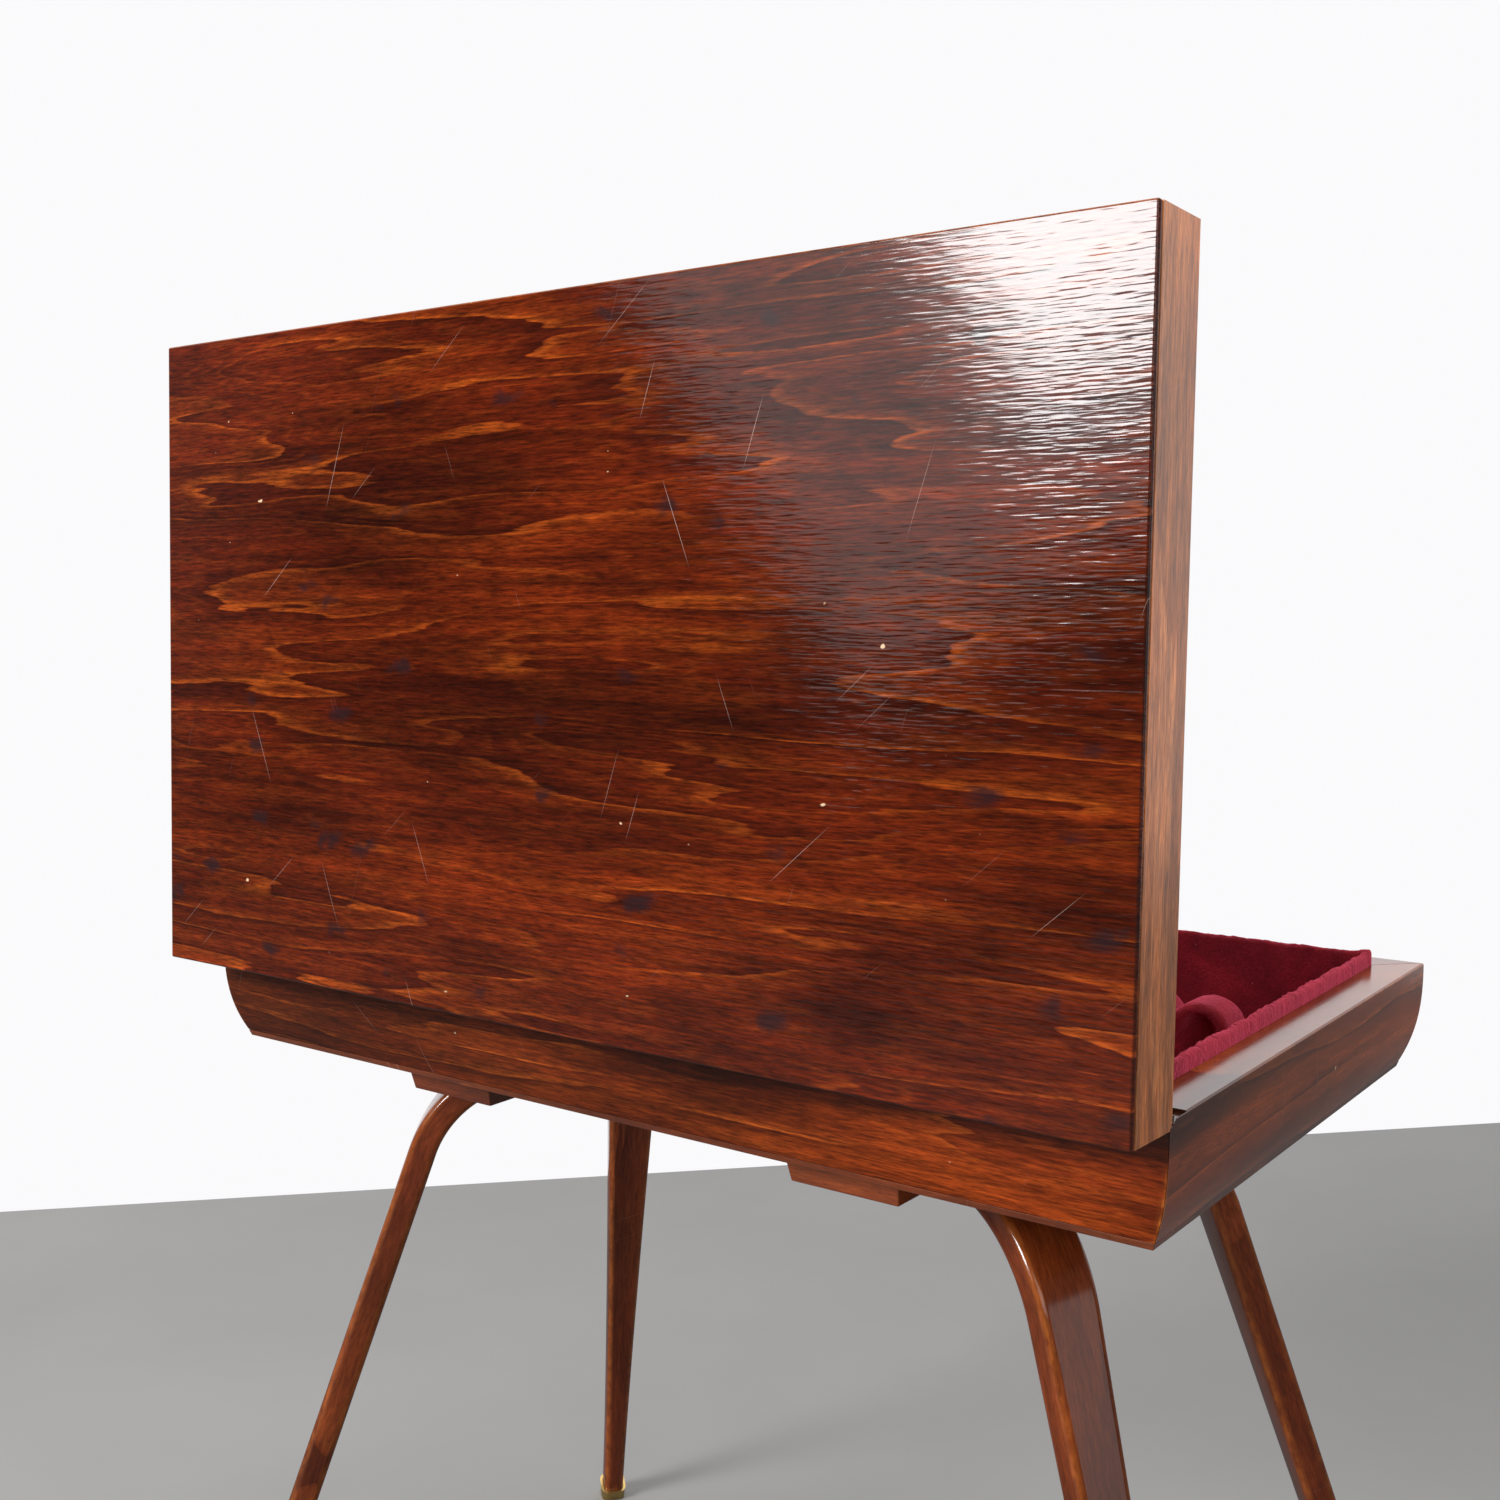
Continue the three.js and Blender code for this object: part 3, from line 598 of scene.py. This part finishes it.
def build_battens():
    for side in ("left", "right"):
        lo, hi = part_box("batten_" + side)
        rings = []
        for z, inset in ((hi.z, 0.0), (lo.z, 0.0035)):
            x0, x1 = lo.x + inset / 2, hi.x - inset / 2
            y0, y1 = lo.y + inset, hi.y - inset
            rings.append([Vector(p) for p in ((x0, y0, z), (x1, y0, z), (x1, y1, z), (x0, y1, z))])
        verts, faces = loft(rings)
        bar = carved("batten_bar_" + side, verts, faces, [], 0.0007, "table", CASE_WOOD,
                     "batten_" + side, lambda co: tuple(co))
        # The battens are darkened all over.
        paint(bar, "grime_and_shade", lambda co: 0.45)


# ---------------------------------------------------------------- legs
def leg_half_width(z):
    """Half the leg's width at a height, widening upwards from the foot."""
    up = min(max(z / BASE_Z, 0.0), 1.0)
    return LEG_HALF_FOOT + LEG_HALF_FLARE * up ** LEG_FLARE_POWER


def leg_path(low):
    """Stations (u, z, normal u, normal z, distance along) down the outer face of a leg."""
    cos, sin = math.cos(LEG_SPLAY), math.sin(LEG_SPLAY)
    centre_z = LEG_TOP_Z - LEG_BEND_R
    centre_u = (BASE_Z * sin - LEG_BEND_R - centre_z * sin) / cos
    path = []
    runs = 5
    for i in range(runs):
        path.append((LEG_TOP_IN + (centre_u - LEG_TOP_IN) * i / runs, LEG_TOP_Z, 0.0, 1.0))
    bends = 28
    for i in range(bends + 1):
        a = math.pi / 2 + (LEG_SPLAY - math.pi / 2) * i / bends
        nu, nz = math.cos(a), math.sin(a)
        path.append((centre_u + LEG_BEND_R * nu, centre_z + LEG_BEND_R * nz, nu, nz))
    u, z, nu, nz = path[-1]
    run = (z - low) / cos
    steps = 160
    for i in range(1, steps + 1):
        path.append((u + run * i / steps * sin, z - run * i / steps * cos, nu, nz))
    along = 0.0
    stations = []
    for i, p in enumerate(path):
        if i:
            along += math.dist(p[:2], path[i - 1][:2])
        stations.append((*p, along))
    return stations


def leg_section(half, grow, steps):
    """A rounded oblong, drawn inwards from the leg's outer face."""
    corner = LEG_CORNER + grow
    points = []
    for cx, cy, start in ((1, 1, 0), (-1, 1, 1), (-1, -1, 2), (1, -1, 3)):
        for i in range(steps + 1):
            a = (start + i / steps) * math.pi / 2
            points.append((
                cx * (half + grow - corner) + corner * math.cos(a),
                cy * (LEG_T / 2 + grow - corner) + corner * math.sin(a) - LEG_T / 2))
    return points


def leg_rings(sx, sy, turn, grow, low, high, floor_z=0.0, steps=6):
    """The leg's rings of points up to a height, with the grain and wear at each point."""
    out = Vector((sx * math.cos(turn), sy * math.sin(turn), 0))
    side = Vector((-out.y, out.x, 0))
    base = Vector((MID_X + sx * LEG_X, MID_Y + sy * LEG_Y, 0))
    rings = []
    grain = []
    wear = []
    for u, z, nu, nz, along in leg_path(low):
        if z > high:
            continue
        ring = []
        half = leg_half_width(z)
        more = grow(z) if callable(grow) else grow
        for across, depth in leg_section(half, more, steps):
            ring.append(base + out * (u + depth * nu) + side * across
                        + Vector((0, 0, max(z + depth * nz, floor_z))))
            grain.append((along + 1.3 * sx + 2.1 * sy, depth, across + 0.4 * sx))
            edge = max(abs(across) - half + LEG_CORNER, 0) / LEG_CORNER
            face = max(abs(depth + LEG_T / 2) - LEG_T / 2 + LEG_CORNER, 0) / LEG_CORNER
            wear.append(min(edge, face, 1.0))
        rings.append(ring)
    return rings, grain, wear


LEGS = {
    "back_right": (1, 1, 40.7),
    "back_left": (-1, 1, 27.8),
    "front_left": (-1, -1, 44.4),
    "front_right": (1, -1, 40.7),
}


def tip_grow(z):
    """The tip's wall, with a rolled bead at its top and an eased sole."""
    bead = 0.0007 * math.exp(-((z - TIP_H + 0.0022) / 0.0011) ** 2)
    sole = 0.0010 * max(0.0, 1 - z / 0.0012)
    return TIP_WALL + GAP + bead - sole


def build_legs():
    for name, (sx, sy, degrees) in LEGS.items():
        turn = math.radians(degrees)
        rings, grain, wear = leg_rings(sx, sy, turn, 0.0, 0.0, 1.0, TIP_SOLE + GAP)
        leg = finished("bent_leg_" + name, *loft(rings), "table", LEG_WOOD, "leg_" + name,
                       grain, 50)
        paint(leg, "wear", wear)
        outer, _, _ = leg_rings(sx, sy, turn, tip_grow, 0.0, TIP_H, 0.0)
        inner, _, _ = leg_rings(sx, sy, turn, GAP, 0.0, TIP_H, TIP_SOLE)
        finished("leg_tip_" + name, *loft(outer[::-1] + inner), "table", BRASS,
                 "foot_tip_" + name, None, 40)


# ---------------------------------------------------------------- velvet
def build_liner():
    wall_lo, wall_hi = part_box("liner_wall_left")
    well_w = 2 * (MID_X - wall_lo.x)
    front_lo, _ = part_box("liner_wall_front")
    well_d = 2 * (MID_Y - front_lo.y)
    thick = wall_hi.x - wall_lo.x
    top = wall_hi.z
    low = wall_lo.z
    r = thick / 2
    crown = [(r + r * math.cos(math.pi * i / 10), top - r + r * math.sin(math.pi * i / 10))
             for i in range(11)]
    levels = 6
    inner = [(thick, low + (top - r - low) * i / levels) for i in range(levels)]
    outer = [(0.0, top - r - (top - r - low) * (i + 1) / levels) for i in range(levels)]
    section = inner + crown + outer
    for side in SIDES:
        verts, faces = mitred_bar(section, side, well_w, well_d, even_stations(401))
        soft = []
        for p in verts:
            p = Vector(p)
            lift = max(0.0, (p.z - (top - 0.006)) / 0.006)
            wobble = (noise.noise(p * 70) * 0.0009 + noise.noise(p * 260) * 0.0005
                      + noise.noise(p * 900) * 0.0004)
            corner = (abs(p.x - MID_X) - well_w / 2, abs(p.y - MID_Y) - well_d / 2)
            tuft = 0.0022 * math.exp(-(Vector(corner).length / 0.008) ** 2)
            soft.append(p + Vector((wobble * lift, wobble * lift, (wobble - 0.0006 + tuft) * lift)))
        finished("velvet_wall_" + side, soft, faces, "table", VELVET, "liner_wall_" + side)

    lo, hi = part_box("liner_floor")
    carved("velvet_floor", *box(lo, hi), [], 0.0006, "table", VELVET, "liner_floor",
           lambda co: tuple(co))


REST_HUMPS = 15
REST_NOTCH = 0.012
REST_SHOULDER = 0.0045
SCOOP_HALF_W = 0.0108
SCOOP_HALF_H = 0.0135
SCOOP_DEPTH = 0.013
SCOOP_BELOW = 0.0055


def rest_ring(x, from_crest, lift, lo, hi):
    """The outline of a rest at x: up the front face, over the rounded top, down the hollow rear."""
    mid = (lo.y + hi.y) / 2
    half_d = (hi.y - lo.y) / 2
    top = hi.z - REST_NOTCH * (1 - lift)
    spring = top - REST_SHOULDER
    levels = 20
    turns = 6
    ring = [Vector((x, mid - half_d, lo.z + (spring - lo.z) * i / levels)) for i in range(levels)]
    for centre, start in ((-1, math.pi), (1, math.pi / 2)):
        for i in range(turns + 1):
            a = start - math.pi / 2 * i / turns
            y = mid + centre * (half_d - REST_SHOULDER) + REST_SHOULDER * math.cos(a)
            ring.append(Vector((x, y, spring + REST_SHOULDER * math.sin(a))))
    hollow_z = hi.z - SCOOP_BELOW - SCOOP_HALF_H
    for i in range(1, levels + 1):
        z = spring - (spring - lo.z) * i / levels
        inside = 1 - (from_crest / SCOOP_HALF_W) ** 2 - ((z - hollow_z) / SCOOP_HALF_H) ** 2
        hollow = SCOOP_DEPTH * math.sqrt(max(0.0, inside))
        ring.append(Vector((x, mid + half_d - hollow, z)))
    return ring


def build_rests():
    for row in ("front", "rear"):
        lo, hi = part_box("rest_bar_" + row)
        pitch = (hi.x - lo.x) / REST_HUMPS
        steps = 16
        rings = []
        for k in range(REST_HUMPS * steps + 1):
            lift = abs(math.sin(math.pi * k / steps)) ** 0.5
            from_crest = ((k / steps) % 1 - 0.5) * pitch
            rings.append(rest_ring(lo.x + pitch * k / steps, from_crest, lift, lo, hi))
        verts, faces = loft(rings)
        soft = [v + Vector((0, 0, noise.noise(v * 190) * 0.0006)) if v.z > lo.z + 0.001 else v
                for v in verts]
        finished("velvet_rest_" + row, soft, faces, "table", VELVET, "rest_bar_" + row, None, 60)


# ---------------------------------------------------------------- lid, drawn closed then turned open
OPENING = (Matrix.Translation(PIN) @ Matrix.Rotation(-LID_OPEN, 4, "X")
           @ Matrix.Translation(-PIN))
CLOSING = OPENING.inverted()


def opened(verts):
    """Points drawn with the lid shut, moved to where they are with it open."""
    return [OPENING @ Vector(v) for v in verts]


def closed_grain(rule):
    """A grain rule written for the shut lid."""
    return lambda co: rule(CLOSING @ co)


def build_lid():
    frame_top = LID_Z + LID_T - LID_TOP_T - GAP
    section = [(LID_RAIL_T, frame_top), (0.0, frame_top), (0.0, LID_Z), (LID_RAIL_T, LID_Z)]
    back = BACK_Y - LID_BACK
    chamfer = scratch_object("cut_lid", *prism_x([
        (back - LID_CHAMFER_IN, LID_Z), (back - LID_CHAMFER_IN, LID_Z - 0.001),
        (back + 0.001, LID_Z - 0.001), (back + 0.001, LID_Z + LID_CHAMFER_UP)], -1, 1))
    chamfer.data.transform(OPENING)
    shift = Vector((0, -LID_BACK / 2, 0))
    for side in SIDES:
        verts, faces = mitred_bar(section, side, 2 * HALF_W, LID_D)
        verts = opened([Vector(v) + shift for v in verts])
        tools = [] if side == "front" else [chamfer]
        rail = carved("lid_lipping_" + side, verts, faces, tools, 0.0006, "lid", LIP_WOOD,
                      "lid_rail_" + side, closed_grain(bar_grain(side, 5.0 + SIDES[side])))
        # Painted shade: the lipping is darker towards the hinge edge, which is the bottom of the open
        # lid.
        paint(rail, "grime_and_shade", lambda co: 0.50 * max(0.0, ((CLOSING @ co).y - FRONT_Y) / LID_D) ** 1.5)
    bpy.data.objects.remove(chamfer)

    lo = (MID_X - HALF_W, back - LID_D, frame_top + GAP)
    hi = (MID_X + HALF_W, back, LID_Z + LID_T)
    verts, faces = box(lo, hi)
    panel = carved("lid_face", opened(verts), faces, [], 0.0012, "lid", LID_VENEER,
                   "lid_top_panel", closed_grain(lambda co: (co.x, co.z, co.y)))
    edge = 0.0011

    def edge_dirt(co):
        place = CLOSING @ co
        inside = min(place.x - MID_X + HALF_W, back - place.y)
        return 0.55 if inside < edge and LID_Z + LID_T - place.z < edge else 0.0

    def edge_rub(co):
        place = CLOSING @ co
        inside = min(MID_X + HALF_W - place.x, place.y - back + LID_D)
        return 0.6 if inside < edge and LID_Z + LID_T - place.z < edge else 0.0
    paint(panel, "grime_and_shade", edge_dirt)
    paint(panel, "wear", edge_rub)

    inner_w = HALF_W - LID_RAIL_T - GAP
    inner_d = LID_D / 2 - LID_RAIL_T - GAP
    middle = back - LID_D / 2
    verts, faces = box((MID_X - inner_w, middle - inner_d, frame_top - LINING_T),
                       (MID_X + inner_w, middle + inner_d, frame_top))
    carved("lid_velvet", opened(verts), faces, [], 0.0015, "lid", VELVET, "lid_lining",
           lambda co: tuple(co))


def dress_metal():
    """The hinge, its pin and every screw keep their CAD shape and get a metal."""
    for name, node in frame["nodes"].items():
        if name.startswith("hinge_leaf") or name.startswith("hinge_screw"):
            skin = BRONZE
        elif name.startswith("hinge_pin") or "_screw_" in name:
            skin = STEEL
        else:
            continue
        node.data.materials.clear()
        node.data.materials.append(skin)


# ---------------------------------------------------------------- stage
def build_stage():
    """A pale grey floor that ends behind the table, where the white of the room begins."""
    behind = Vector((0.719, -0.695, 0))
    along = Vector((0.695, 0.719, 0))
    edge = behind * 1.140
    reach = 14.0
    corners = [edge - along * reach, edge + along * reach]
    corners += [corners[1] - behind * reach, corners[0] - behind * reach]
    floor = scratch_object("floor", corners, [(0, 1, 2, 3)])
    s = Shader("floor_paint")
    mottle = s.noise(s.position(), 2.2, 5.0, 0.6)
    grey = s.mix(1.0, (0.182, 0.180, 0.175), s.ramp(mottle, (0.3, 0.94), (0.7, 1.05)), "MULTIPLY")
    # Painted light: the floor grows paler away from the table, making up for the lamps' falloff.
    away = s.node("VectorMath", operation="LENGTH")
    s.put(away.inputs[0], s.position())
    far = s.ramp(s.math("MULTIPLY", away.outputs["Value"], 0.1), (0.16, 0.0), (0.45, 1.0), smooth=True)
    grey = s.mix(s.math("MULTIPLY", far, 0.6), grey, (0.60, 0.595, 0.58))
    # Painted shade in reflections: glossy rays see the floor's colour halved towards black, so the floor
    # shows darker in the wood's gloss.
    mirrored = s.node("LightPath").outputs["Is Glossy Ray"]
    s.set(Base_Color=s.mix(s.math("MULTIPLY", mirrored, 0.5), grey, (0.0, 0.0, 0.0)), Roughness=0.65)
    floor.data.materials.append(s.material)


def soft_light(name, where, towards, width, height, power, lean=0.0):
    """A soft rectangular lamp, leaned about its own aim."""
    light = bpy.data.lights.new(name, "AREA")
    light.shape = "RECTANGLE"
    light.size = width
    light.size_y = height
    light.energy = power
    lamp = bpy.data.objects.new(name, light)
    bpy.context.scene.collection.objects.link(lamp)
    lamp.location = where
    aim = Vector(towards) - Vector(where)
    turn = aim.to_track_quat("-Z", "Y").to_matrix() @ Matrix.Rotation(math.radians(lean), 3, "Z")
    lamp.rotation_euler = turn.to_euler()


def build_light():
    """A white room, bright behind the table. Its gloss sees a darker near side than its shade."""
    world = bpy.data.worlds.new("room")
    bpy.context.scene.world = world
    world.use_nodes = True
    tree = world.node_tree
    place = tree.nodes.new("ShaderNodeTexCoord")
    ray = tree.nodes.new("ShaderNodeLightPath")
    facing = tree.nodes.new("ShaderNodeVectorMath")
    facing.operation = "DOT_PRODUCT"
    facing.inputs[1].default_value = (0.62, -0.72, 0.30)
    tree.links.new(place.outputs["Generated"], facing.inputs[0])

    def walls(dim, bright):
        made = tree.nodes.new("ShaderNodeMapRange")
        for key, value in zip(("From Min", "From Max", "To Min", "To Max"), (0.05, 0.75, dim, bright)):
            made.inputs[key].default_value = value
        tree.links.new(facing.outputs["Value"], made.inputs["Value"])
        return made.outputs["Result"]

    def pick(kind, there, otherwise):
        made = tree.nodes.new("ShaderNodeMix")
        tree.links.new(ray.outputs[kind], made.inputs["Factor"])
        tree.links.new(otherwise, made.inputs["A"])
        if isinstance(there, float):
            made.inputs["B"].default_value = there
        else:
            tree.links.new(there, made.inputs["B"])
        return made.outputs["Result"]

    sky = tree.nodes["Background"]
    sky.inputs["Color"].default_value = (0.99, 0.985, 1.0, 1.0)
    light = pick("Is Diffuse Ray", walls(0.55, 1.0), walls(0.12, 1.6))
    tree.links.new(pick("Is Camera Ray", 0.97, light), sky.inputs["Strength"])
    soft_light("window", (0.99, 3.0, 2.06), (-0.2, 0.1, 0.75), 1.1, 1.1, 180, 29)
    soft_light("window_glow", (1.22, 3.1, 1.80), (-0.2, 0.1, 0.75), 1.9, 1.5, 26, 29)
    soft_light("side_wall", (-3.4, -0.2, 0.95), (0, 0, 0.4), 1.6, 1.2, 10)
    soft_light("key", (-2.0, 2.2, 1.95), (0, 0.1, 0.6), 2.0, 1.5, 32)
    soft_light("ceiling", (-0.3, -0.2, 2.9), (0, 0, 0.4), 2.4, 2.4, 36)


def build_camera():
    camera = bpy.data.cameras.new("camera")
    camera.sensor_width = 36.0
    camera.lens = 40.78
    holder = bpy.data.objects.new("camera", camera)
    bpy.context.scene.collection.objects.link(holder)
    heading, dip, roll = math.radians(216.79), math.radians(-5.22), math.radians(-0.30)
    turn = (Matrix.Rotation(heading, 4, "Z") @ Matrix.Rotation(math.pi / 2 + dip, 4, "X")
            @ Matrix.Rotation(roll, 4, "Z"))
    where = Vector((MID_X - 0.5666, BACK_Y + 0.6270, RIM_Z + 0.2093))
    holder.matrix_world = Matrix.Translation(where) @ turn
    bpy.context.scene.camera = holder
    bpy.context.scene.view_settings.view_transform = "Standard"


build_camera()
build_case()
build_battens()
build_legs()
build_liner()
build_rests()
build_lid()
dress_metal()
build_stage()
build_light()
